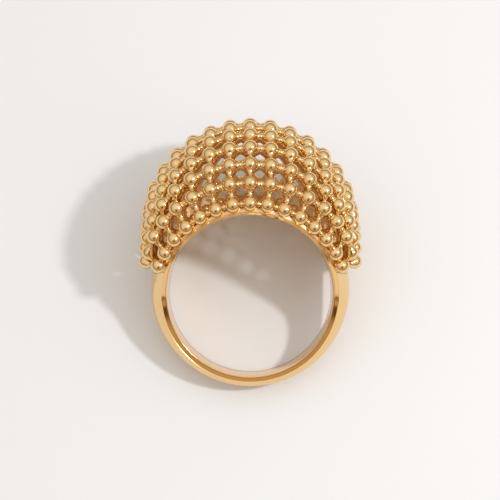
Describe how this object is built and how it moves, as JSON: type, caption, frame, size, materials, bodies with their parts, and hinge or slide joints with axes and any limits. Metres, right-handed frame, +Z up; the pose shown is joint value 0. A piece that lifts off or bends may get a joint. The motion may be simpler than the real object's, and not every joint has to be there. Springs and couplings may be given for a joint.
{
  "type": "dome ring",
  "caption": "Finger ring with a plain tapering band whose shoulders fork into rails, and a hollow openwork dome of round beads tied by short bars.",
  "frame": {"origin": "centre of the bounding box's bottom: the surface that the ring lies on", "axes": "+Z up from the surface that the ring lies on; +Y towards the dome's crown and X across the finger; the finger's axis leans back from +Z towards -Y by 21.3 degrees"},
  "size_m": [0.023, 0.0274, 0.0177],
  "materials": {
    "polished_band": "polished, warm yellow gold plating",
    "beaded_gold": "polished, warm yellow gold plating"
  },
  "bodies": {
    "root": {"band": "polished_band", "beaded_dome": "beaded_gold"}
  },
  "joints": []
}
